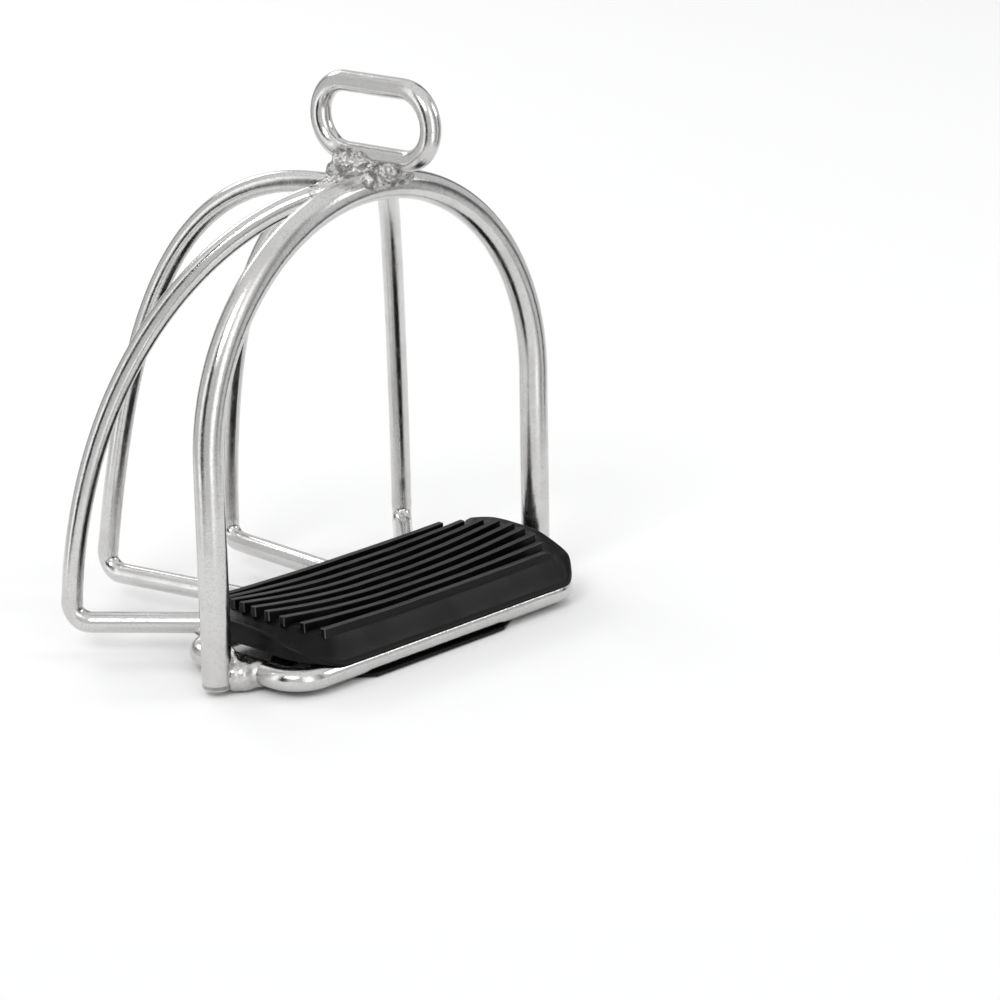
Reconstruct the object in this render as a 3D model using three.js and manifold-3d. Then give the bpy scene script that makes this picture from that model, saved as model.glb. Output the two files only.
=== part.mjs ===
// A cage safety stirrup iron: a bent-rod arch with a leather eye on its crown, a rod tread frame,
// four toe-cage bars, the welds that hold them together, and a black rubber tread pad that snaps
// into the frame on two hinged lips.
//
// Millimetres, +Z up, +X along the tread, +Y towards the toe cage. The iron is drawn with the
// tread frame's centre plane at z = 0 and the arch in the plane y = 0, then moved so that the
// origin is under the middle of the whole thing, on the surface that it stands on.
import * as THREE from 'three';
import { mergeVertices } from 'three/addons/utils/BufferGeometryUtils.js';
import Module from 'manifold-3d';

// ---- driving dimensions -------------------------------------------------------------------
const ARCH_ROD = 8.2;            // rod diameter of the arch
const ARCH_HALF = 64;            // leg centre line from the middle: 120 mm between the legs
const SHOULDER_Z = 58.7;         // where the straight legs turn into the half circle
const LEG_END_Z = -3.4;          // flat sawn end of each leg

const FRAME_ROD = 6.3;           // rod diameter of the tread frame
const FRAME_LEFT = -54.4;        // frame centre line, left and right ends
const FRAME_RIGHT = 56.3;
const FRAME_HALF_Y = 21.5;       // frame centre line, half width
const FRAME_CORNER = 8.5;        // corner radius of that centre line

const EYE_ROD = 5.8;             // leather eye: rod diameter
const EYE_HALF = 20.6;           // half length of its centre line, along the foot's direction
const EYE_RISE = 9.75;          // half height of its centre line, also its end radius
const EYE_CENTRE = [3.5, 1.6, 139.9];

const BAR_ROD = 5.9;             // toe-cage bars
const BAR_Z = 4.5;               // height of their lower runs over the frame's centre plane
const BAR_BEND = 7.5;            // radius of the bend at the toe

const PAD_LEFT = -53.4;          // rubber pad
const PAD_RIGHT = 57.8;
const PAD_HEEL_Y = -25.2;
const PAD_TOE_Y = 23.8;
const PAD_UNDER_Z = 3.5;
const SKIRT_Z = 1.9;             // the heel-side skirt hangs to here, outside the rod
const SKIRT_THICK = 0.9;
const PAD_TOP_Z = 10.4;
const RIB_TOP_Z = 12.4;
// left and right end of each rib, from the heel side to the toe side
const RIBS = [
  [-43, 46], [-46, 50], [-48.5, 52.5], [-49.5, 53.4], [-50, 54],
  [-49.5, 53.2], [-48.5, 51.5], [-46, 48.5], [-43.5, 44.5],
];
const RIB_PITCH = 4.8;
const RIB_WIDTH = 1.8;
const WALL = 2.0;                // walls of the boss under the pad
const SLOT = [-8.0, 0.0];        // slot between the walls, across the tread
const BOSS_HALF_X = 37;
const HINGE_Z = -3.0;            // bottom of the walls, where the lips hinge

const LIP_TOP_Z = -3.55;         // heel lip, lying under the heel-side rod
const LIP_THICK = 1.1;
const LIP_OUT_Y = -24.2;
const LIP_HEEL = 0.5;            // how far each lip runs past its hinge line, under the wall
const GAP = 0.3;                 // kept between two parts where one is shaped to the other

// ---- materials ----------------------------------------------------------------------------
const steel = (name, rough = 0.3) => {
  const m = new THREE.MeshStandardMaterial({ color: 0xc9c8c6, roughness: rough, metalness: 1 });
  m.name = name;
  return m;
};
const rubber = (name, color = 0x141414) => {
  const m = new THREE.MeshStandardMaterial({ color, roughness: 0.62, metalness: 0 });
  m.name = name;
  return m;
};

// ---- curves -------------------------------------------------------------------------------
class PointPath extends THREE.Curve {
  // a run of points joined by straight steps, walked by length
  constructor(points) {
    super();
    this.points = points;
    this.run = [0];
    for (let i = 1; i < points.length; i++) {
      this.run.push(this.run[i - 1] + points[i].distanceTo(points[i - 1]));
    }
  }

  getPoint(t, target = new THREE.Vector3()) {
    const want = t * this.run[this.run.length - 1];
    let i = 1;
    while (i < this.run.length - 1 && this.run[i] < want) i++;
    const a = this.run[i - 1];
    const b = this.run[i];
    return target.copy(this.points[i - 1]).lerp(this.points[i], b > a ? (want - a) / (b - a) : 0);
  }

  get length() {
    return this.run[this.run.length - 1];
  }
}

const v3 = (x, y, z) => new THREE.Vector3(x, y, z);

function cornered(points, radius, closed = false) {
  // points joined by straight runs, with every inner corner rounded to the radius
  const out = [];
  const n = points.length;
  for (let i = 0; i < n; i++) {
    const here = points[i];
    const inner = closed || (i > 0 && i < n - 1);
    if (!inner) {
      out.push(here.clone());
      continue;
    }
    const before = points[(i + n - 1) % n];
    const after = points[(i + 1) % n];
    const d0 = before.clone().sub(here).normalize();
    const d1 = after.clone().sub(here).normalize();
    const half = d0.angleTo(d1) / 2;
    const back = radius / Math.tan(half);
    const start = here.clone().addScaledVector(d0, back);
    const end = here.clone().addScaledVector(d1, back);
    const middle = here.clone().addScaledVector(d0.clone().add(d1).normalize(), radius / Math.sin(half));
    const a = start.clone().sub(middle);
    const b = end.clone().sub(middle);
    const turn = a.angleTo(b);
    for (let k = 0; k <= 12; k++) {
      const w0 = Math.sin((1 - k / 12) * turn) / Math.sin(turn);
      const w1 = Math.sin((k / 12) * turn) / Math.sin(turn);
      out.push(middle.clone().addScaledVector(a, w0).addScaledVector(b, w1));
    }
  }
  return out;
}

function rod(path, diameter, step, sides) {
  // a round rod swept along a path, with flat ends
  const section = new THREE.Shape();
  for (let k = 0; k < sides; k++) {
    const turn = ((k + 0.5) / sides) * Math.PI * 2;
    const x = (diameter / 2) * Math.cos(turn);
    const y = (diameter / 2) * Math.sin(turn);
    if (k === 0) section.moveTo(x, y);
    else section.lineTo(x, y);
  }
  section.closePath();
  const steps = Math.max(8, Math.round(path.length / step));
  return new THREE.ExtrudeGeometry(section, { steps, extrudePath: path, bevelEnabled: false });
}

// ---- solids -------------------------------------------------------------------------------
const wasm = await Module();
wasm.setup();

function solid(geometry) {
  const g = geometry.clone();
  g.deleteAttribute('normal');
  g.deleteAttribute('uv');
  const m = mergeVertices(g, 1e-4);
  return new wasm.Manifold(new wasm.Mesh({
    numProp: 3,
    vertProperties: new Float32Array(m.attributes.position.array),
    triVerts: new Uint32Array(m.index.array),
  }));
}

function geometryOf(body) {
  const mesh = body.getMesh();
  const g = new THREE.BufferGeometry();
  g.setAttribute('position', new THREE.BufferAttribute(new Float32Array(mesh.vertProperties), 3));
  g.setIndex(new THREE.BufferAttribute(new Uint32Array(mesh.triVerts), 1));
  return g;
}

function largest(body) {
  const bits = body.decompose();
  bits.sort((a, b) => b.volume() - a.volume());
  return bits[0];
}

function box(x0, x1, y0, y1, z0, z1) {
  const g = new THREE.BoxGeometry(x1 - x0, y1 - y0, z1 - z0);
  g.translate((x0 + x1) / 2, (y0 + y1) / 2, (z0 + z1) / 2);
  return solid(g);
}

function blob(x, y, z, rx, ry, rz, detail = 10) {
  const g = new THREE.SphereGeometry(1, detail, Math.round(detail * 0.7));
  g.scale(rx, ry, rz);
  g.translate(x, y, z);
  return solid(g);
}

function plate(outline, z0, z1) {
  const shape = new THREE.Shape(outline.map(([x, y]) => new THREE.Vector2(x, y)));
  const g = new THREE.ExtrudeGeometry(shape, { depth: z1 - z0, bevelEnabled: false });
  g.translate(0, 0, z0);
  return solid(g);
}

function roundedOutline(x0, x1, y0, y1, r, bits = 5) {
  const out = [];
  const corners = [[x1 - r, y1 - r, 0], [x0 + r, y1 - r, 90], [x0 + r, y0 + r, 180], [x1 - r, y0 + r, 270]];
  for (const [cx, cy, start] of corners) {
    for (let k = 0; k <= bits; k++) {
      const turn = THREE.MathUtils.degToRad(start + (90 * k) / bits);
      out.push([cx + r * Math.cos(turn), cy + r * Math.sin(turn)]);
    }
  }
  return out;
}

const group = new THREE.Group();
const iron = new THREE.Group();
group.add(iron);

function add(name, geometry, material) {
  const mesh = new THREE.Mesh(geometry, material);
  mesh.name = name;
  iron.add(mesh);
}

// ---- arch: two straight legs and a half circle --------------------------------------------
const archPoints = [v3(-ARCH_HALF, 0, LEG_END_Z)];
for (let k = 0; k <= 48; k++) {
  const turn = Math.PI * (1 - k / 48);
  archPoints.push(v3(ARCH_HALF * Math.cos(turn), 0, SHOULDER_Z + ARCH_HALF * Math.sin(turn)));
}
archPoints.push(v3(ARCH_HALF, 0, LEG_END_Z));
const archPath = new PointPath(archPoints);
add('arch', rod(archPath, ARCH_ROD, 6.5, 12), steel('arch steel'));
const archCut = solid(rod(archPath, ARCH_ROD + 2 * GAP, 6.5, 12));

// ---- tread frame: a rounded rectangle of rod, its two ends closed by a dressed butt weld ---
const jointX = 0;
const frameLoop = cornered([
  v3(FRAME_RIGHT, FRAME_HALF_Y, 0), v3(FRAME_RIGHT, -FRAME_HALF_Y, 0),
  v3(FRAME_LEFT, -FRAME_HALF_Y, 0), v3(FRAME_LEFT, FRAME_HALF_Y, 0),
], FRAME_CORNER, true);
const framePoints = [v3(jointX + 0.3, FRAME_HALF_Y, 0), ...frameLoop, v3(jointX - 0.3, FRAME_HALF_Y, 0)];
const framePath = new PointPath(framePoints);
const frameBody = solid(rod(framePath, FRAME_ROD, 5.4, 12));
const buttWeld = new THREE.CylinderGeometry(FRAME_ROD / 2 + 0.12, FRAME_ROD / 2 + 0.12, 3, 16);
buttWeld.rotateZ(Math.PI / 2);
buttWeld.translate(jointX, FRAME_HALF_Y, 0);
add('tread_frame', geometryOf(frameBody.add(solid(buttWeld))), steel('tread frame steel'));
const frameCut = solid(rod(framePath, FRAME_ROD + 2 * GAP, 5.4, 12));

// ---- leather eye: a flat-sided loop turned across the arch; its ends meet in the crown weld
const [ex, ey, ez] = EYE_CENTRE;
const eyeFlat = EYE_HALF - EYE_RISE;
const eyePoints = [v3(ex, ey + 0.3, ez - EYE_RISE)];
for (let k = 0; k <= 20; k++) {
  const turn = -Math.PI / 2 + (Math.PI * k) / 20;
  eyePoints.push(v3(ex, ey + eyeFlat + EYE_RISE * Math.cos(turn), ez + EYE_RISE * Math.sin(turn)));
}
for (let k = 0; k <= 20; k++) {
  const turn = Math.PI / 2 + (Math.PI * k) / 20;
  eyePoints.push(v3(ex, ey - eyeFlat + EYE_RISE * Math.cos(turn), ez + EYE_RISE * Math.sin(turn)));
}
eyePoints.push(v3(ex, ey - 0.3, ez - EYE_RISE));
const eyePath = new PointPath(eyePoints);
function eyeJoint(grow) {
  const g = new THREE.CylinderGeometry(EYE_ROD / 2 + 0.1 + grow, EYE_ROD / 2 + 0.1 + grow, 3 + 2 * grow, 14);
  g.translate(ex, ey, ez - EYE_RISE);
  return solid(g);
}
add('leather_eye', geometryOf(solid(rod(eyePath, EYE_ROD, 3.4, 10)).add(eyeJoint(0))), steel('eye steel'));
const eyeCut = solid(rod(eyePath, EYE_ROD + 2 * GAP, 3.4, 10)).add(eyeJoint(GAP));

// ---- toe-cage bars: out from the crown, down, a tight bend, and back to the toe-side rod ---
const bars = [
  { top: [-11.0, 7.2, 122.0], out: [-33.5, 26.7, 116.7], down: [-64.5, 52.6, 77.3], bend: [-67.0, 54.7], foot: [-44.4, 26.2] },
  { top: [-4.3, 8.5, 122.0], out: [-22.3, 61.1, 131.8], down: [-26.4, 73.9, 68.0], bend: [-29.1, 82.6], foot: [-20.2, 25.5] },
  { top: [3.0, 8.5, 121.5], out: [11.8, 59.0, 116.0], down: [15.1, 77.5, 68.2], bend: [15.1, 77.6], foot: [10.6, 25.5] },
  { top: [10.5, 7.2, 121.5], out: [30.3, 22.5, 119.4], down: [60.5, 50.5, 49.7], bend: [60.3, 50.3], foot: [36.6, 26.2] },
];
const barCuts = [];
bars.forEach((bar, i) => {
  const bend = v3(bar.bend[0], bar.bend[1], BAR_Z);
  const upper = new THREE.CubicBezierCurve3(v3(...bar.top), v3(...bar.out), v3(...bar.down), bend).getPoints(40);
  const foot = v3(bar.foot[0], bar.foot[1], BAR_Z);
  const last = upper[38];
  const run = upper.slice(0, 38);
  const corner = cornered([last, bend, foot], BAR_BEND * 0.62);
  const path = new PointPath([...run.slice(0, 36), ...corner.slice(1)]);
  add(`cage_bar_${i + 1}`, rod(path, BAR_ROD, 4.6, 10), steel(`cage bar ${i + 1} steel`));
  barCuts.push(solid(rod(path, BAR_ROD + 2 * GAP, 4.6, 10)));
});

// ---- rubber pad ---------------------------------------------------------------------------
let pad = plate(roundedOutline(PAD_LEFT, PAD_RIGHT, PAD_HEEL_Y, PAD_TOE_Y, 13), PAD_UNDER_Z, PAD_TOP_Z - 2.2);
pad = pad.add(plate(roundedOutline(PAD_LEFT + 1.6, PAD_RIGHT - 1.6, PAD_HEEL_Y + 1.6, PAD_TOE_Y - 1.6, 12), PAD_TOP_Z - 2.4, PAD_TOP_Z));
pad = pad.add(box(-38, 43, PAD_HEEL_Y, PAD_HEEL_Y + SKIRT_THICK, SKIRT_Z, PAD_UNDER_Z + 1));
RIBS.forEach(([left, right], k) => {
  const y = (k - (RIBS.length - 1) / 2) * RIB_PITCH;
  pad = pad.add(box(left, right, y - RIB_WIDTH / 2, y + RIB_WIDTH / 2, PAD_TOP_Z - 1, RIB_TOP_Z));
});
const [slotHeel, slotToe] = SLOT;
pad = pad.add(box(-BOSS_HALF_X, BOSS_HALF_X, slotHeel - WALL, slotHeel, HINGE_Z, PAD_UNDER_Z + 0.5));
pad = pad.add(box(-BOSS_HALF_X, BOSS_HALF_X, slotToe, slotToe + WALL, HINGE_Z, PAD_UNDER_Z + 0.5));
add('tread_pad', geometryOf(pad), rubber('tread pad rubber'));

// ---- the two lips that hinge from the bottom of the walls ----------------------------------
const heelHinge = slotHeel - WALL / 2;
const toeHinge = slotToe + WALL / 2;
const lipBottom = LIP_TOP_Z - LIP_THICK;
const heelLip = plate([
  [-35.5, heelHinge + LIP_HEEL], [-37.5, -12.6], [-35.0, -17.0], [-27.5, LIP_OUT_Y],
  [23.5, LIP_OUT_Y], [33.0, -19.0], [37.5, -13.1], [35.5, heelHinge + LIP_HEEL],
], lipBottom, LIP_TOP_Z);
add('pad_lip_heel', geometryOf(heelLip), rubber('heel lip rubber', 0x1b1b1b));
const toeLip = plate([
  [-37.0, toeHinge - LIP_HEEL], [38.0, toeHinge - LIP_HEEL], [38.0, 4.4], [28.0, 13.4], [-27.0, 13.4], [-37.0, 7.5],
], lipBottom, LIP_TOP_Z);
add('pad_lip_toe', geometryOf(toeLip), rubber('toe lip rubber', 0x1b1b1b));

// ---- welds: metal run in between the rods, cut back to leave each rod whole -----------------
let crown = blob(1.0, 6.2, 122.4, 15.0, 5.2, 4.6, 14);
crown = crown.add(blob(ex, 1.6, 126.0, 9.5, 7.4, 3.6, 14));
crown = crown.add(blob(-8, 2.6, 124.6, 7.0, 4.6, 3.6, 12));
crown = crown.subtract(archCut).subtract(eyeCut);
for (const cut of barCuts) crown = crown.subtract(cut);
add('crown_weld', geometryOf(largest(crown)), steel('crown weld', 0.42));

for (const side of [-1, 1]) {
  let neck = blob(side * 59.2, 0, 0.4, 4.4, 4.6, 4.1, 12);
  neck = neck.subtract(archCut).subtract(frameCut);
  neck = neck.subtract(box(PAD_LEFT - GAP, PAD_RIGHT + GAP, -30, 30, PAD_UNDER_Z - GAP, 20));
  add(side < 0 ? 'leg_weld_left' : 'leg_weld_right', geometryOf(largest(neck)), steel('leg weld', 0.36));
}

bars.forEach((bar, i) => {
  let run = blob(bar.foot[0], bar.foot[1] - 1.0, 2.5, 5.0, 3.4, 3.9, 12);
  run = run.subtract(frameCut).subtract(barCuts[i]);
  run = run.subtract(box(-70, 70, -30, PAD_TOE_Y + GAP, PAD_UNDER_Z - GAP, 20));
  add(`bar_weld_${i + 1}`, geometryOf(largest(run)), steel(`bar weld ${i + 1}`, 0.42));
});

// ---- origin: under the middle of the whole thing, on the surface that it stands on ---------
const bounds = new THREE.Box3().setFromObject(iron, true);
const middle = bounds.getCenter(v3(0, 0, 0));
iron.position.set(-middle.x, -middle.y, -bounds.min.z);

export default group;
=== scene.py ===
import math

import bmesh
import bpy
from mathutils import Matrix, Vector, noise


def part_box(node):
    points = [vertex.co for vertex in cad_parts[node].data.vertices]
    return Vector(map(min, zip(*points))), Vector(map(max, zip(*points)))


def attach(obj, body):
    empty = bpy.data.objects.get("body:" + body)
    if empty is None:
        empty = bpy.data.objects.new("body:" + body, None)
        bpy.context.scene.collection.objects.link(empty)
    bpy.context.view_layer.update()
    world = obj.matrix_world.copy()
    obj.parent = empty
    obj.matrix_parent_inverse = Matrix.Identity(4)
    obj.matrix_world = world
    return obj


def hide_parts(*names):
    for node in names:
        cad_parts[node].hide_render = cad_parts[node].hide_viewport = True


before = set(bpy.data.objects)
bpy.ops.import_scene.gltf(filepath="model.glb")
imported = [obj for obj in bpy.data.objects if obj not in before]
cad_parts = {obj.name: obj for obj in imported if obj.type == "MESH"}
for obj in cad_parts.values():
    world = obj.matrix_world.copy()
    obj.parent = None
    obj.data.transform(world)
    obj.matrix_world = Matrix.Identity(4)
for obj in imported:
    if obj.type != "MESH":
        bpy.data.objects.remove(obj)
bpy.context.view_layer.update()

# ---- the iron's own measure: millimetres from the middle of the tread frame ------------------
MM = 0.001
LEG_END = -3.4
arch_low, arch_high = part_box("arch")
HOME = Vector((
    (arch_low[0] + arch_high[0]) / 2,
    (arch_low[1] + arch_high[1]) / 2,
    arch_low[2] - LEG_END * MM,
))

ARCH_R = 4.1
ARCH_HALF = 64.0
SHOULDER_Z = 58.7
FRAME_R = 3.15
FRAME_LEFT = -54.4
FRAME_RIGHT = 56.3
FRAME_HALF_Y = 21.5
FRAME_CORNER = 8.5
EYE_R = 2.9
EYE_FLAT = 10.85
EYE_RISE = 9.75
EYE_AT = (3.5, 1.6, 139.9)
BAR_R = 2.95
BAR_Z = 4.5
BAR_BEND_R = 5.2


def home(x, y, z):
    """A place in the iron's own millimetres, as metres in the row frame."""
    return HOME + Vector((x, y, z)) * MM


# ---- materials ------------------------------------------------------------------------------
class Wire:
    """A shader socket that takes part in sums."""

    def __init__(self, sheet, socket):
        self.sheet = sheet
        self.socket = socket

    def sum(self, operation, *values):
        return self.sheet.add("ShaderNodeMath", {"operation": operation}, dict(enumerate(values)))

    def __add__(self, other):
        return self.sum("ADD", self, other)

    def __radd__(self, other):
        return self.sum("ADD", other, self)

    def __sub__(self, other):
        return self.sum("SUBTRACT", self, other)

    def __rsub__(self, other):
        return self.sum("SUBTRACT", other, self)

    def __neg__(self):
        return self.sum("MULTIPLY", self, -1)

    def __mul__(self, other):
        return self.sum("MULTIPLY", self, other)

    def __rmul__(self, other):
        return self.sum("MULTIPLY", other, self)

    def __pow__(self, other):
        return self.sum("POWER", self, other)

    def clipped(self, low, high):
        """0 below low, 1 above high, smooth between them."""
        kind = {"interpolation_type": "SMOOTHSTEP"}
        return self.sheet.add("ShaderNodeMapRange", kind, {"Value": self, "From Min": low, "From Max": high})


class Sheet:
    """The node sheet of one material or of the world."""

    def __init__(self, tree):
        self.tree = tree
        tree.nodes.clear()

    def add(self, kind, settings=None, inputs=None, out=0):
        node = self.tree.nodes.new(kind)
        for key, value in (settings or {}).items():
            if key == "stops":
                for place, colour in value:
                    stop = node.color_ramp.elements.new(place)
                    stop.color = (*colour, 1)
                node.color_ramp.elements.remove(node.color_ramp.elements[0])
                node.color_ramp.elements.remove(node.color_ramp.elements[-1])
            else:
                setattr(node, key, value)
        for key, value in (inputs or {}).items():
            socket = node.inputs[key]
            if isinstance(value, Wire):
                self.tree.links.new(value.socket, socket)
            else:
                socket.default_value = value
        return Wire(self, node.outputs[out])

    def blend(self, factor, first, second):
        """A colour between two colours."""
        node = self.tree.nodes.new("ShaderNodeMix")
        node.data_type = "RGBA"
        for index, value in ((0, factor), (6, first), (7, second)):
            if isinstance(value, Wire):
                self.tree.links.new(value.socket, node.inputs[index])
            else:
                node.inputs[index].default_value = value if index == 0 else (*value[:3], 1)
        return Wire(self, node.outputs[2])

    def speckle(self, size, detail=2.0, rough=0.5, stretch=None, kind="ShaderNodeTexNoise"):
        """Soft noise whose grains are about this many metres across."""
        where = self.add("ShaderNodeTexCoord", out=3)
        if stretch:
            where = self.add("ShaderNodeMapping", None, {0: where, "Scale": stretch})
        return self.add(kind, None, {"Vector": where, "Scale": 1 / size, "Detail": detail, "Roughness": rough})

    def pits(self, size):
        where = self.add("ShaderNodeTexCoord", out=3)
        return self.add("ShaderNodeTexVoronoi", None, {"Vector": where, "Scale": 1 / size})

    def bump(self, height, depth, strength=1.0):
        return self.add("ShaderNodeBump", None, {"Height": height, "Distance": depth, "Strength": strength})

    def finish(self, **inputs):
        named = {key.replace("_", " "): value for key, value in inputs.items()}
        shader = self.add("ShaderNodeBsdfPrincipled", None, named)
        self.add_output(shader)

    def add_output(self, shader):
        node = self.tree.nodes.new("ShaderNodeOutputMaterial")
        self.tree.links.new(shader.socket, node.inputs[0])


def new_sheet(name):
    material = bpy.data.materials.new(name)
    material.use_nodes = True
    return material, Sheet(material.node_tree)


def rod_steel(name="bright rod steel"):
    """Drawn stainless rod, tumbled: bright, with a fine pepper of tiny dents."""
    material, s = new_sheet(name)
    pepper = s.speckle(0.00042, 3.0, 0.62)
    patches = s.speckle(0.009, 3.0, 0.55)
    waves = s.speckle(0.0032, 2.0, 0.5)
    dull = patches.clipped(0.42, 0.68)
    spots = pepper.clipped(0.5, 0.72)
    tone = s.blend(spots * 0.6, (0.64, 0.635, 0.63), (0.36, 0.355, 0.35))
    tone = s.blend(dull * 0.35, tone, (0.50, 0.49, 0.475))
    relief = s.bump(pepper * 0.7 + waves * 1.0, 0.00005, 0.75)
    s.finish(Base_Color=tone, Metallic=1.0, Roughness=0.13 + dull * 0.09 + spots * 0.09, Normal=relief)
    return material


def weld_steel(name, wild):
    """Run metal: shiny, crinkled and pitted where wild is 1, dressed smooth where it is near 0; its pits are coloured
    near black as painted shade.
    """
    material, s = new_sheet(name)
    crinkle = s.speckle(0.0009, 4.0, 0.65)
    lumps = s.speckle(0.0026, 2.0, 0.5)
    pits_with_painted_shade = 1 - s.pits(0.0016).clipped(0.05, 0.28)
    soot = lumps.clipped(0.42, 0.62)
    tone = s.blend(soot * (0.8 * wild), (0.60, 0.595, 0.585), (0.16, 0.155, 0.15))
    # painted shade: the pits are coloured near black, standing in for the shade that falls in the hollows
    tone = s.blend(pits_with_painted_shade * (0.85 * wild), tone, (0.07, 0.065, 0.06))
    relief = s.bump(crinkle * 1.0 + lumps * 1.2 - pits_with_painted_shade * 0.5, 0.00035 * wild, 0.9)
    s.finish(Base_Color=tone, Metallic=1.0, Roughness=0.15 + crinkle * 0.16 + pits_with_painted_shade * 0.2, Normal=relief)
    return material


def pad_rubber(name, tone_low, tone_high, gloss):
    """Moulded black rubber with a faint bloom and a very fine skin."""
    material, s = new_sheet(name)
    skin = s.speckle(0.00035, 2.0, 0.6)
    bloom = s.speckle(0.011, 3.0, 0.55)
    patch = bloom.clipped(0.4, 0.7)
    tone = s.blend(patch, tone_low, tone_high)
    relief = s.bump(skin + bloom * 1.5, 0.00003, 0.6)
    s.finish(Base_Color=tone, Roughness=gloss + patch * 0.10 + skin * 0.06, Specular_IOR_Level=0.14, Normal=relief)
    return material


ROD = rod_steel()
WELD = weld_steel("run weld metal", 1.0)
DRESSED = weld_steel("dressed weld metal", 0.22)
RUBBER = pad_rubber("moulded pad rubber", (0.002, 0.002, 0.0021, 1), (0.0045, 0.0045, 0.0047, 1), 0.30)
LIP_RUBBER = pad_rubber("moulded lip rubber", (0.003, 0.003, 0.0031, 1), (0.006, 0.006, 0.0062, 1), 0.44)

# painted highlight: a lighter rubber for the rib edges, standing in for the light lines the studio light draws along
# them
RIB_EDGE_HIGHLIGHT = pad_rubber("painted rib edge highlight", (0.045, 0.045, 0.046), (0.085, 0.085, 0.086), 0.45)


# ---- making meshes --------------------------------------------------------------------------
def piece(name, mesh_maker, material, body, slot, *stands_for):
    """One piece of the iron, made by a function that fills a bmesh."""
    shape = bmesh.new()
    mesh_maker(shape)
    bmesh.ops.recalc_face_normals(shape, faces=shape.faces)
    for face in shape.faces:
        face.smooth = True
    mesh = bpy.data.meshes.new(name)
    shape.to_mesh(mesh)
    shape.free()
    made = bpy.data.objects.new(name, mesh)
    bpy.context.scene.collection.objects.link(made)
    mesh.materials.append(material)
    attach(made, body)
    if stands_for:
        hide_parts(*stands_for)
    return made


def even(points, step):
    """The same route with points an even step apart."""
    run = [0.0]
    for a, b in zip(points, points[1:]):
        run.append(run[-1] + (b - a).length)
    count = max(4, round(run[-1] / step))
    out = []
    i = 0
    for k in range(count + 1):
        want = run[-1] * k / count
        while i < len(points) - 2 and run[i + 1] < want:
            i += 1
        span = max(run[i + 1] - run[i], 1e-9)
        out.append(points[i].lerp(points[i + 1], (want - run[i]) / span))
    return out


def turned(points, radius, closed=False):
    """Straight runs between points, with each inner corner bent to the radius."""
    out = []
    count = len(points)
    for i, here in enumerate(points):
        if not closed and i in (0, count - 1):
            out.append(here.copy())
            continue
        to_last = (points[i - 1] - here).normalized()
        to_next = (points[(i + 1) % count] - here).normalized()
        half = to_last.angle(to_next) / 2
        centre = here + (to_last + to_next).normalized() * (radius / math.sin(half))
        start = here + to_last * (radius / math.tan(half)) - centre
        end = here + to_next * (radius / math.tan(half)) - centre
        sweep = start.angle(end)
        for k in range(17):
            first = math.sin((1 - k / 16) * sweep) / math.sin(sweep)
            second = math.sin(k / 16 * sweep) / math.sin(sweep)
            out.append(centre + start * first + end * second)
    return out


def rod_rings(route, radius, closed, thickness, sides):
    """Rings of points round a route, without twist."""
    count = len(route)
    tangents = []
    for i in range(count):
        before = route[i - 1] if (closed or i > 0) else route[0]
        after = route[(i + 1) % count] if (closed or i < count - 1) else route[-1]
        tangents.append((after - before).normalized())
    side = tangents[0].orthogonal().normalized()
    sides_of = [side]
    for i in range(1, count):
        turn = tangents[i - 1].rotation_difference(tangents[i])
        side = (turn @ side).normalized()
        sides_of.append(side)
    twist = 0.0
    if closed:
        last = (tangents[-1].rotation_difference(tangents[0]) @ side).normalized()
        twist = math.atan2(last.cross(sides_of[0]).dot(tangents[0]), last.dot(sides_of[0]))
    rings = []
    for i, place in enumerate(route):
        across = tangents[i].cross(sides_of[i])
        fix = twist * i / count
        size = radius * (thickness(i / (count - 1)) if thickness else 1.0)
        ring = []
        for k in range(sides):
            turn = 2 * math.pi * k / sides + fix
            ring.append(place + (sides_of[i] * math.cos(turn) + across * math.sin(turn)) * size)
        rings.append(ring)
    return rings, tangents


def rod(points, radius, closed=False, step=1.1, sides=40, end_round=0.8, thickness=None):
    """A round rod along a route, in the iron's millimetres, its sawn ends a little rounded."""
    route = even(points, step)
    if closed:
        route = route[:-1]

    def make(shape):
        rings, tangents = rod_rings(route, radius, closed, thickness, sides)
        if not closed:
            for at_end in (0, -1):
                outward = -tangents[0] if at_end == 0 else tangents[-1]
                middle = route[at_end]
                extra = []
                for k in range(1, 5):
                    turn = math.pi / 2 * k / 4
                    inset = end_round * (1 - math.cos(turn))
                    ahead = end_round * (math.sin(turn) - 1)
                    share = (radius - inset) / radius
                    extra.append([middle + (p - middle) * share + outward * ahead for p in rings[at_end]])
                if at_end == 0:
                    rings[0] = [p - outward * end_round for p in rings[0]]
                    rings[:0] = extra[::-1]
                else:
                    rings[-1] = [p - outward * end_round for p in rings[-1]]
                    rings.extend(extra)
        made = [[shape.verts.new(home(*p)) for p in ring] for ring in rings]
        pairs = list(zip(made, made[1:]))
        if closed:
            pairs.append((made[-1], made[0]))
        for a, b in pairs:
            for k in range(sides):
                shape.faces.new((a[k], a[(k + 1) % sides], b[(k + 1) % sides], b[k]))
        if not closed:
            shape.faces.new(made[0][::-1])
            shape.faces.new(made[-1])

    return make


def hand_made(amount, seed, bumps=()):
    """Small changes of thickness along a rod, and named thick or thin spots (place, spread, size)."""

    def thickness(share):
        size = 1 + amount * noise.noise(Vector((share * 9 + seed, seed * 3.7, 0.3)))
        for place, spread, extra in bumps:
            size += extra * math.exp(-(((share - place) / spread) ** 2))
        return size

    return thickness


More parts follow.
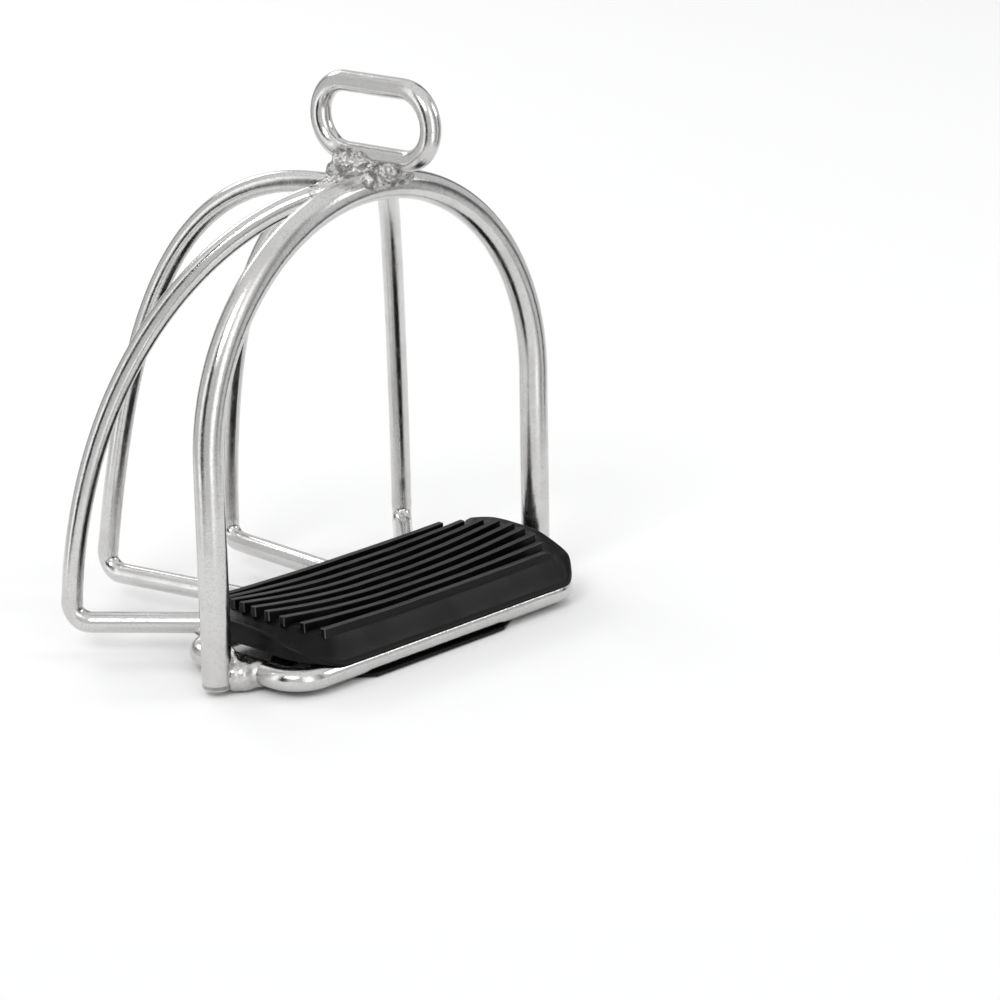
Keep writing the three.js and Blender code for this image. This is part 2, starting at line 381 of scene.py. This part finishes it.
# ---- the arch -------------------------------------------------------------------------------
arch_route = [Vector((-ARCH_HALF, 0, LEG_END))]
for k in range(97):
    turn = math.pi * (1 - k / 96)
    arch_route.append(Vector((ARCH_HALF * math.cos(turn), 0, SHOULDER_Z + ARCH_HALF * math.sin(turn))))
arch_route.append(Vector((ARCH_HALF, 0, LEG_END)))
piece(
    "arch_rod", rod(arch_route, ARCH_R, sides=48, end_round=1.1, thickness=hand_made(0.006, 1.3)),
    ROD, "iron", "bright_rod", "arch",
)

# ---- the tread frame ------------------------------------------------------------------------
frame_corners = (
    (FRAME_RIGHT, FRAME_HALF_Y), (FRAME_RIGHT, -FRAME_HALF_Y),
    (FRAME_LEFT, -FRAME_HALF_Y), (FRAME_LEFT, FRAME_HALF_Y),
)
frame_route = turned([Vector((x, y, 0)) for x, y in frame_corners], FRAME_CORNER, closed=True)
frame_route.append(frame_route[0].copy())
piece(
    "tread_frame_rod", rod(frame_route, FRAME_R, closed=True, thickness=hand_made(0.006, 2.1)),
    ROD, "iron", "bright_rod", "tread_frame",
)

# ---- the leather eye, turned across the arch ------------------------------------------------
ex, ey, ez = EYE_AT
eye_route = []
for end in (1, -1):
    for k in range(33):
        turn = -math.pi / 2 + math.pi * k / 32 + (0 if end > 0 else math.pi)
        eye_route.append(Vector((
            ex, ey + end * EYE_FLAT + EYE_RISE * math.cos(turn), ez + EYE_RISE * math.sin(turn),
        )))
eye_route.append(eye_route[0].copy())
piece(
    "leather_eye_rod", rod(eye_route, EYE_R, closed=True, step=0.9, thickness=hand_made(0.012, 4.4)),
    ROD, "iron", "bright_rod", "leather_eye",
)

# ---- the toe cage: each bar from the crown, out and down, a tight bend, back to the frame ----
BARS = (
    ((-9.5, 4.6, 122.6), (-33.5, 26.7, 116.7), (-64.5, 52.6, 77.3), (-67.0, 54.7), (-40.7, 21.9)),
    ((-4.0, 6.2, 122.2), (-22.3, 61.1, 131.8), (-26.4, 73.9, 68.0), (-29.1, 82.6), (-19.6, 21.9)),
    ((3.0, 6.2, 121.6), (11.8, 59.0, 116.0), (15.1, 77.5, 68.2), (15.1, 77.6), (10.2, 21.9)),
    ((9.8, 4.6, 121.8), (30.3, 22.5, 119.4), (60.5, 50.5, 49.7), (60.3, 50.3), (32.0, 21.9)),
)


def bar_route(top, out, down, bend, foot):
    corner = Vector((*bend, BAR_Z))
    p = [Vector(top), Vector(out), Vector(down), corner]
    upper = []
    for k in range(60):
        t = k / 60
        u = 1 - t
        upper.append(p[0] * u ** 3 + p[1] * 3 * u * u * t + p[2] * 3 * u * t * t + p[3] * t ** 3)
    upper = [q for q in upper if (q - corner).length > 14]
    bent = turned([upper[-1], corner, Vector((*foot, BAR_Z))], BAR_BEND_R)
    return upper[:-1] + bent


for number, bar in enumerate(BARS, 1):
    route = bar_route(*bar)
    total = sum((b - a).length for a, b in zip(route, route[1:]))
    low_run = (Vector((*bar[3], 0)) - Vector((*bar[4], 0))).length
    bend_at = 1 - low_run / total
    kinks = ((bend_at, 0.009, -0.045), (bend_at - 0.018, 0.006, 0.03), (bend_at + 0.018, 0.006, 0.03))
    piece(
        f"cage_bar_{number}_rod", rod(route, BAR_R, thickness=hand_made(0.008, 5.1 + number, kinks)),
        ROD, "iron", "bright_rod", f"cage_bar_{number}",
    )


# ---- welds ----------------------------------------------------------------------------------
def weld(name, blobs, stands_for, grain=0.42, fillet=3, lumps=0.35, crinkle=0.12, seed=0.0):
    """Run metal: rounded lumps melted together, then crinkled."""

    def balls(shape):
        for start, end, radius in blobs:
            a, b = Vector(start), Vector(end)
            count = max(1, math.ceil((b - a).length / (0.35 * min(radius))) + 1)
            for k in range(count):
                middle = a.lerp(b, k / max(1, count - 1))
                where = Matrix.Translation(home(*middle)) @ Matrix.Diagonal((*[r * MM for r in radius], 1))
                bmesh.ops.create_icosphere(shape, subdivisions=3, radius=1, matrix=where)

    made = piece(name, balls, WELD, "iron", "weld_metal", *stands_for)
    melt = made.modifiers.new("melt together", "REMESH")
    melt.mode = "VOXEL"
    melt.voxel_size = grain * MM
    melt.use_smooth_shade = True
    soften = made.modifiers.new("soften", "SMOOTH")
    soften.iterations = fillet
    soften.factor = 0.6
    settled = bpy.data.meshes.new_from_object(made.evaluated_get(bpy.context.evaluated_depsgraph_get()))
    made.modifiers.clear()
    settled.name = name
    made.data = settled
    for corner in settled.vertices:
        spot = (corner.co - HOME) / MM + Vector((seed, seed, seed))
        push = lumps * noise.noise(spot * 0.38) + crinkle * noise.noise(spot * 1.1)
        push += crinkle * 0.5 * noise.noise(spot * 2.4)
        corner.co += corner.normal * push * MM
    for face in settled.polygons:
        face.use_smooth = True
    return made


weld("crown_weld_run", [
    ((ex - 1.0, 3.4, 128.6), (ex - 1.6, 11.6, 129.4), (4.2, 3.0, 3.0)),
    ((ex - 2.0, 3.6, 125.8), (ex - 4.0, 10.4, 125.8), (5.6, 3.4, 3.8)),
    ((ex - 0.2, -5.6, 126.9), (ex - 0.2, 2.5, 126.2), (5.6, 2.6, 2.9)),
    ((ex - 6.5, -2.4, 124.6), (ex + 5.5, -2.6, 124.2), (4.2, 2.6, 2.8)),
    ((-8.0, 2.2, 122.8), (11.0, 2.4, 122.8), (4.5, 4.5, 4.2)),
    ((-7.0, 7.4, 122.0), (8.5, 7.2, 121.6), (4.2, 4.2, 3.9)),
    ((-2.5, 10.4, 122.4), (3.5, 10.4, 122.0), (3.9, 3.4, 3.5)),
    ((-13.8, 8.0, 121.3), (-8.0, 5.0, 123.6), (2.9, 2.9, 3.0)),
    ((10.5, 4.5, 121.5), (13.5, 7.0, 120.7), (2.8, 2.8, 2.9)),
], ("crown_weld",), grain=0.36, fillet=14, lumps=0.3, crinkle=0.45, seed=3.0)

for name, side, end_x in (("left", -1, FRAME_LEFT), ("right", 1, FRAME_RIGHT)):
    made = weld(f"leg_weld_{name}_run", [
        ((end_x, -7.4, -0.1), (end_x, 7.4, -0.1), (3.9, 1.5, 3.9)),
        ((side * 58.2, -5.2, -0.3), (side * 58.2, 5.2, -0.3), (3.8, 2.6, 4.1)),
        ((side * 60.6, -3.4, -0.4), (side * 56.4, -5.6, -0.3), (3.2, 2.6, 4.0)),
        ((side * 61.6, 0.0, -0.9), (side * 57.4, 0.0, -0.8), (2.6, 4.4, 3.0)),
        ((side * 60.8, -0.6, 6.6), (side * 58.0, -0.6, 2.4), (1.6, 3.0, 2.2)),
    ], (f"leg_weld_{name}",), fillet=14, lumps=0.12, crinkle=0.05, seed=11.0 + side)
    made.data.materials[0] = DRESSED

for number, bar in enumerate(BARS, 1):
    foot = Vector(bar[4])
    along = (Vector(bar[3]) - foot).normalized()
    near = foot + along * 2.6
    far = foot + along * 5.4
    weld(f"bar_weld_{number}_run", [
        ((foot.x - 2.6, foot.y + 0.6, 2.6), (foot.x + 2.6, foot.y + 0.6, 2.6), (2.4, 2.9, 2.2)),
        ((near.x, near.y, 2.9), (far.x, far.y, 3.6), (3.5, 3.0, 2.7)),
    ], (f"bar_weld_{number}",), lumps=0.55, crinkle=0.22, seed=20.0 + 3 * number)

# ---- the rubber pad -------------------------------------------------------------------------
PAD_LEFT = -53.4
PAD_RIGHT = 57.8
PAD_HEEL = -24.9
PAD_TOE = 24.2
PAD_CORNER = 15.0
PAD_NEAR_CORNER = 10.0      # the heel corner on the right is tighter
PAD_TOP = 10.35
PAD_TILT = 0.047
RIB_TALL = 2.0
RIB_HALF_WIDE = 0.9
RIB_PITCH = 4.8
RIBS = (
    (-43.0, 46.0), (-45.8, 50.0), (-48.7, 52.3), (-49.6, 53.4), (-50.0, 54.2),
    (-49.5, 53.2), (-48.5, 51.5), (-46.0, 48.5), (-43.5, 44.5),
)
LEFT_LIFT = 4.7
RIGHT_LIFT = 2.9


def ease(value, low, high):
    t = min(1.0, max(0.0, (value - low) / (high - low)))
    return t * t * (3 - 2 * t)


def lifted(x, y):
    """How far the leg welds push the pad up towards the middle of its two ends."""
    most = LEFT_LIFT if x < 0 else RIGHT_LIFT
    rise = min(1.0, max(0.0, (abs(x) - 8) / 47)) ** 1.7
    return most * rise * math.exp(-((abs(y) / 17.5) ** 3.2))


def pad_top(x, y):
    return PAD_TOP + PAD_TILT * y + lifted(x, y)


def pad_hem(x, y):
    """Height of the skirt's lower edge: down beside the heel rod, up on the other rods."""
    heel = (1 - ease(y, -24.0, -19.0)) * (1 - ease(-x, 38, 50)) * (1 - ease(x, 50, 58))
    return 3.75 - 1.9 * heel + 0.5 * lifted(x, y)


def pad_outline(count=240):
    """Points and outward directions round the pad, evenly spaced."""
    out = []
    for x, y, start, bend in (
        (PAD_RIGHT, PAD_TOE, 0, PAD_CORNER), (PAD_LEFT, PAD_TOE, 90, PAD_CORNER),
        (PAD_LEFT, PAD_HEEL, 180, PAD_CORNER), (PAD_RIGHT, PAD_HEEL, 270, PAD_NEAR_CORNER),
    ):
        middle = Vector((x - math.copysign(bend, x), y - math.copysign(bend, y), 0))
        for k in range(25):
            turn = math.radians(start + 90 * k / 24)
            out.append(middle + Vector((math.cos(turn), math.sin(turn), 0)) * bend)
    out.append(out[0].copy())
    route = even(out, sum((b - a).length for a, b in zip(out, out[1:])) / count)[:-1]
    facing = []
    for i, here in enumerate(route):
        along = route[(i + 1) % len(route)] - route[i - 1]
        facing.append(Vector((along.y, -along.x, 0)).normalized())
    return route, facing


def pad_body(shape):
    """The moulding: a border that slopes to a ridge at the ends and straight to the hem at the sides."""
    route, facing = pad_outline()
    spine = [Vector((max(-36, min(38, p.x)), 0, 0)) for p in route]
    long_side = [ease(abs(n.y), 0.55, 0.98) for n in facing]
    border = [7.4 - 2.7 * side for side in long_side]
    hem = [pad_hem(p.x, p.y) for p in route]
    ridge = []
    for p, n, side, low in zip(route, facing, long_side, hem):
        high = pad_top(p.x - n.x, p.y - n.y)
        fall = 3.2 if p.x < 0 else 0.9 - 1.8 * ease(p.y, -20, -5)
        ridge.append(high - fall * (1 - side) - (high - low - 1.1) * side)

    def loop(places):
        return [shape.verts.new(home(*q)) for q in places]

    loops = []
    for t in (1.0, 0.94, 0.84, 0.72, 0.6, 0.48, 0.36, 0.24, 0.12):
        row = []
        for p, n, wide, middle in zip(route, facing, border, spine):
            q = (p - n * wide).lerp(middle, t)
            row.append((q.x, q.y, pad_top(q.x, q.y)))
        loops.append(loop(row))
    for t in (0.0, 0.06, 0.14, 0.28, 0.45, 0.62, 0.78, 0.9, 0.97):
        row = []
        for p, n, wide, peak, side in zip(route, facing, border, ridge, long_side):
            q = p - n * (wide + (0.85 - wide) * t)
            high = pad_top(q.x, q.y)
            fall = ease(t, -0.35, 1.45) / ease(1, -0.35, 1.45)
            fall = (fall - ease(0, -0.35, 1.45)) / (1 - ease(0, -0.35, 1.45))
            dip = 0.45 * (1 - side) * math.exp(-(((t - 0.72) / 0.17) ** 2))
            row.append((q.x, q.y, high + (peak - high) * max(0.0, fall) - dip))
        loops.append(loop(row))
    for inset, share in ((0.62, 0.05), (0.38, 0.16), (0.2, 0.34), (0.08, 0.6), (0.0, 0.85), (0.05, 0.95), (0.2, 1.0)):
        row = []
        for p, n, peak, low in zip(route, facing, ridge, hem):
            q = p - n * inset
            row.append((q.x, q.y, peak + (low - peak) * share))
        loops.append(loop(row))
    for inset, rise in ((0.55, 0.0), (0.8, 0.2), (1.0, 1.2)):
        row = []
        for p, n, low in zip(route, facing, hem):
            q = p - n * inset
            row.append((q.x, q.y, low + rise))
        loops.append(loop(row))
    for inset, t in ((2.4, 0.0), (5.0, 0.0), (5.0, 0.35), (5.0, 0.7), (5.0, 1.0)):
        row = []
        for p, n, middle in zip(route, facing, spine):
            q = (p - n * inset).lerp(middle, t)
            row.append((q.x, q.y, 3.75 + 0.5 * lifted(q.x, q.y)))
        loops.append(loop(row))
    count = len(route)
    for a, b in zip(loops, loops[1:]):
        for k in range(count):
            shape.faces.new((a[k], a[(k + 1) % count], b[(k + 1) % count], b[k]))
    bmesh.ops.remove_doubles(shape, verts=shape.verts, dist=0.02 * MM)


def pad_rib(shape, rib):
    """One square-cut rib, following the pad's top."""
    y = (rib - 4) * RIB_PITCH
    left, right = RIBS[rib]
    soft = 0.17
    w = RIB_HALF_WIDE
    section = [(-w - 0.12, -0.8), (-w, RIB_TALL - soft), (-w + 0.07, RIB_TALL - 0.07), (-w + soft, RIB_TALL)]
    section += [(-a, b) for a, b in reversed(section)]
    count = 64
    stations = [(left, 0.55), (left + 0.06, 0.8), (left + 0.22, 1.0)]
    stations += [(left + 0.22 + (right - left - 0.44) * k / count, 1.0) for k in range(1, count)]
    stations += [(right - 0.22, 1.0), (right - 0.06, 0.8), (right, 0.55)]
    rings = []
    for x, share in stations:
        trim = (1 - share) * 0.5
        ring = []
        for a, b in section:
            inset = a - math.copysign(trim, a)
            tall = min(b, RIB_TALL - trim) if b > 0 else b
            sway = 0.12 * noise.noise(Vector((x * 0.05, rib * 2.3, 1.7)))
            ring.append(shape.verts.new(home(x, y + inset + sway, pad_top(x, y) + tall)))
        rings.append(ring)
    size = len(section)
    last = len(rings) - 2
    for i, (a, b) in enumerate(zip(rings, rings[1:])):
        for k in range(size):
            face = shape.faces.new((a[k], b[k], b[(k + 1) % size], a[(k + 1) % size]))
            # painted highlight: the bevel faces and the rib ends take the lighter edge material
            edge_highlight = k in (1, 2, 4, 5) or (i in (0, 1, last - 1, last) and k != size - 1)
            face.material_index = 1 if edge_highlight else 0
    shape.faces.new(rings[0])
    shape.faces.new(rings[-1][::-1])


def pad_ribs(shape):
    for rib in range(len(RIBS)):
        pad_rib(shape, rib)


piece("tread_pad_moulding", pad_body, RUBBER, "pad", "pad_rubber", "tread_pad")
ribs = piece("tread_pad_ribs", pad_ribs, RUBBER, "pad", "pad_rubber")
ribs.data.materials.append(RIB_EDGE_HIGHLIGHT)
ribs.data.set_sharp_from_angle(angle=math.radians(20))


def edged(made, wide, keep=40):
    """Rounds the sharp edges of a moulded plate."""
    soften = made.modifiers.new("rounded edges", "BEVEL")
    soften.width = wide * MM
    soften.segments = 3
    soften.limit_method = "ANGLE"
    soften.angle_limit = math.radians(keep)
    soften.harden_normals = True
    return made


def plate(outline, low, high):
    """A flat plate, its height given at each corner of the outline."""

    def make(shape):
        bottom = [shape.verts.new(home(x, y, low(x, y))) for x, y in outline]
        top = [shape.verts.new(home(x, y, high(x, y))) for x, y in outline]
        count = len(outline)
        for k in range(count):
            shape.faces.new((bottom[k], bottom[(k + 1) % count], top[(k + 1) % count], top[k]))
        shape.faces.new(bottom[::-1])
        shape.faces.new(top)

    return make


for name, y0, y1 in (("heel", -10.0, -8.0), ("toe", 0.0, 2.0)):
    corners = [(-37, y0), (37, y0), (37, y1), (-37, y1)]
    wall = piece(
        f"pad_wall_{name}", plate(corners, lambda x, y: -3.0, lambda x, y: 4.6),
        RUBBER, "pad", "pad_rubber",
    )
    edged(wall, 0.35)

heel_corners = [
    (-35.5, -8.5), (-37.5, -12.6), (-35.0, -17.0), (-27.5, -24.2),
    (23.5, -24.2), (33.0, -19.0), (37.5, -13.1), (35.5, -8.5),
]
toe_corners = [(-37.0, 0.5), (38.0, 0.5), (38.0, 4.4), (28.0, 13.4), (-27.0, 13.4), (-37.0, 7.5)]
heel_lip = piece(
    "heel_lip_moulding",
    plate(heel_corners, lambda x, y: -4.65 + 0.25 * ease(-y, 18, 25), lambda x, y: -3.55),
    LIP_RUBBER, "heel_lip", "lip_rubber", "pad_lip_heel",
)
toe_lip = piece(
    "toe_lip_moulding",
    plate(toe_corners, lambda x, y: -4.65 + 0.25 * ease(y, 8, 14), lambda x, y: -3.55),
    LIP_RUBBER, "toe_lip", "lip_rubber", "pad_lip_toe",
)
edged(heel_lip, 0.25, 25)
edged(toe_lip, 0.25, 25)

# ---- floor, light and camera ----------------------------------------------------------------
floor_mesh = bpy.data.meshes.new("floor")
FLOOR_RUN = Vector((0.713, 0.701, 0))        # the sheet runs away from the viewer, wider and wider
FLOOR_SIDE = Vector((0.701, -0.713, 0))
FLOOR_NEAR, FLOOR_FAR = -0.23, 5.0
FLOOR_NEAR_HALF, FLOOR_FAR_HALF = 0.145, 1.9
floor_mesh.from_pydata([
    FLOOR_RUN * FLOOR_NEAR - FLOOR_SIDE * FLOOR_NEAR_HALF,
    FLOOR_RUN * FLOOR_NEAR + FLOOR_SIDE * FLOOR_NEAR_HALF,
    FLOOR_RUN * FLOOR_FAR + FLOOR_SIDE * FLOOR_FAR_HALF,
    FLOOR_RUN * FLOOR_FAR - FLOOR_SIDE * FLOOR_FAR_HALF,
], [], [(0, 1, 2, 3)])
floor = bpy.data.objects.new("floor", floor_mesh)
floor.location.z = -0.0002
bpy.context.scene.collection.objects.link(floor)
floor_paint, s = new_sheet("floor paint")
s.finish(Base_Color=(0.90, 0.90, 0.90, 1), Roughness=0.9)
floor_mesh.materials.append(floor_paint)

world = bpy.data.worlds.new("studio")
bpy.context.scene.world = world
world.use_nodes = True
s = Sheet(world.node_tree)
facing = s.add("ShaderNodeTexCoord", out=0)
height = s.add("ShaderNodeSeparateXYZ", None, {0: facing}, out=2)
across = s.add("ShaderNodeSeparateXYZ", None, {0: facing}, out=0)
ahead = s.add("ShaderNodeSeparateXYZ", None, {0: facing}, out=1)
bearing = s.add("ShaderNodeMath", {"operation": "ARCTAN2"}, {0: -ahead, 1: -across})
WALL_TONE = 0.74
BACKDROP = 1.0
STRIPS = (          # bearing, half width and light of each strip of the studio wall
    (0.0, 0.19, 0.02), (1.22, 0.20, 1.9), (-0.44, 0.15, 1.5), (2.55, 0.12, 0.08),
    (-2.75, 0.12, 0.10), (-1.55, 0.10, 0.10), (1.85, 0.09, 0.25),
)
glow = WALL_TONE
for middle, half, tone in STRIPS:
    off = s.add("ShaderNodeMath", {"operation": "ABSOLUTE"}, {0: bearing - middle})
    strip = 1 - off.clipped(half * 0.6, half * 1.5)
    glow = glow + strip * (tone - WALL_TONE)
upward = height.clipped(0.55, 0.85)
glow = glow * (1 - upward) + upward * 0.95
seen = s.add("ShaderNodeLightPath", out=0)
glow = glow * (1 - seen) + seen * BACKDROP
light = s.add("ShaderNodeBackground", None, {"Color": (0.995, 0.997, 1.0, 1), "Strength": glow})
node = world.node_tree.nodes.new("ShaderNodeOutputWorld")
world.node_tree.links.new(light.socket, node.inputs[0])


def lamp(name, place, aim, size, power):
    data = bpy.data.lights.new(name, "AREA")
    data.shape = "RECTANGLE"
    data.size, data.size_y = size
    data.energy = power
    made = bpy.data.objects.new(name, data)
    made.location = place
    made.rotation_mode = "QUATERNION"
    made.rotation_quaternion = (Vector(aim) - Vector(place)).to_track_quat("-Z", "Y")
    bpy.context.scene.collection.objects.link(made)


MIDDLE = (0, 0, 0.07)
lamp("key", (-1.3, -0.5, 1.2), MIDDLE, (0.7, 0.5), 9)
lamp("fill", (1.2, -1.1, 0.9), MIDDLE, (0.6, 0.6), 4)
lamp("back", (0.3, 1.5, 1.1), MIDDLE, (0.9, 0.4), 6)

CAMERA_AT = (-694.07, -680.87, 324.55)
AZIMUTH = math.radians(-47.5)
PITCH = math.radians(16.66)
ROLL = math.radians(-0.99)
forward = Vector((
    -math.sin(AZIMUTH) * math.cos(PITCH), math.cos(AZIMUTH) * math.cos(PITCH), -math.sin(PITCH),
))
flat_right = Vector((math.cos(AZIMUTH), math.sin(AZIMUTH), 0))
flat_up = flat_right.cross(forward)
right = flat_right * math.cos(ROLL) + flat_up * math.sin(ROLL)
up = flat_up * math.cos(ROLL) - flat_right * math.sin(ROLL)
view = bpy.data.cameras.new("camera")
view.sensor_width = 36
view.lens = 132.0
view.clip_start = 0.05
view.clip_end = 30
camera = bpy.data.objects.new("camera", view)
turned_to = Matrix((right, up, -forward)).transposed()
camera.matrix_world = Matrix.Translation(home(*CAMERA_AT)) @ turned_to.to_4x4()
bpy.context.scene.collection.objects.link(camera)
bpy.context.scene.camera = camera
bpy.context.scene.view_settings.view_transform = "Standard"
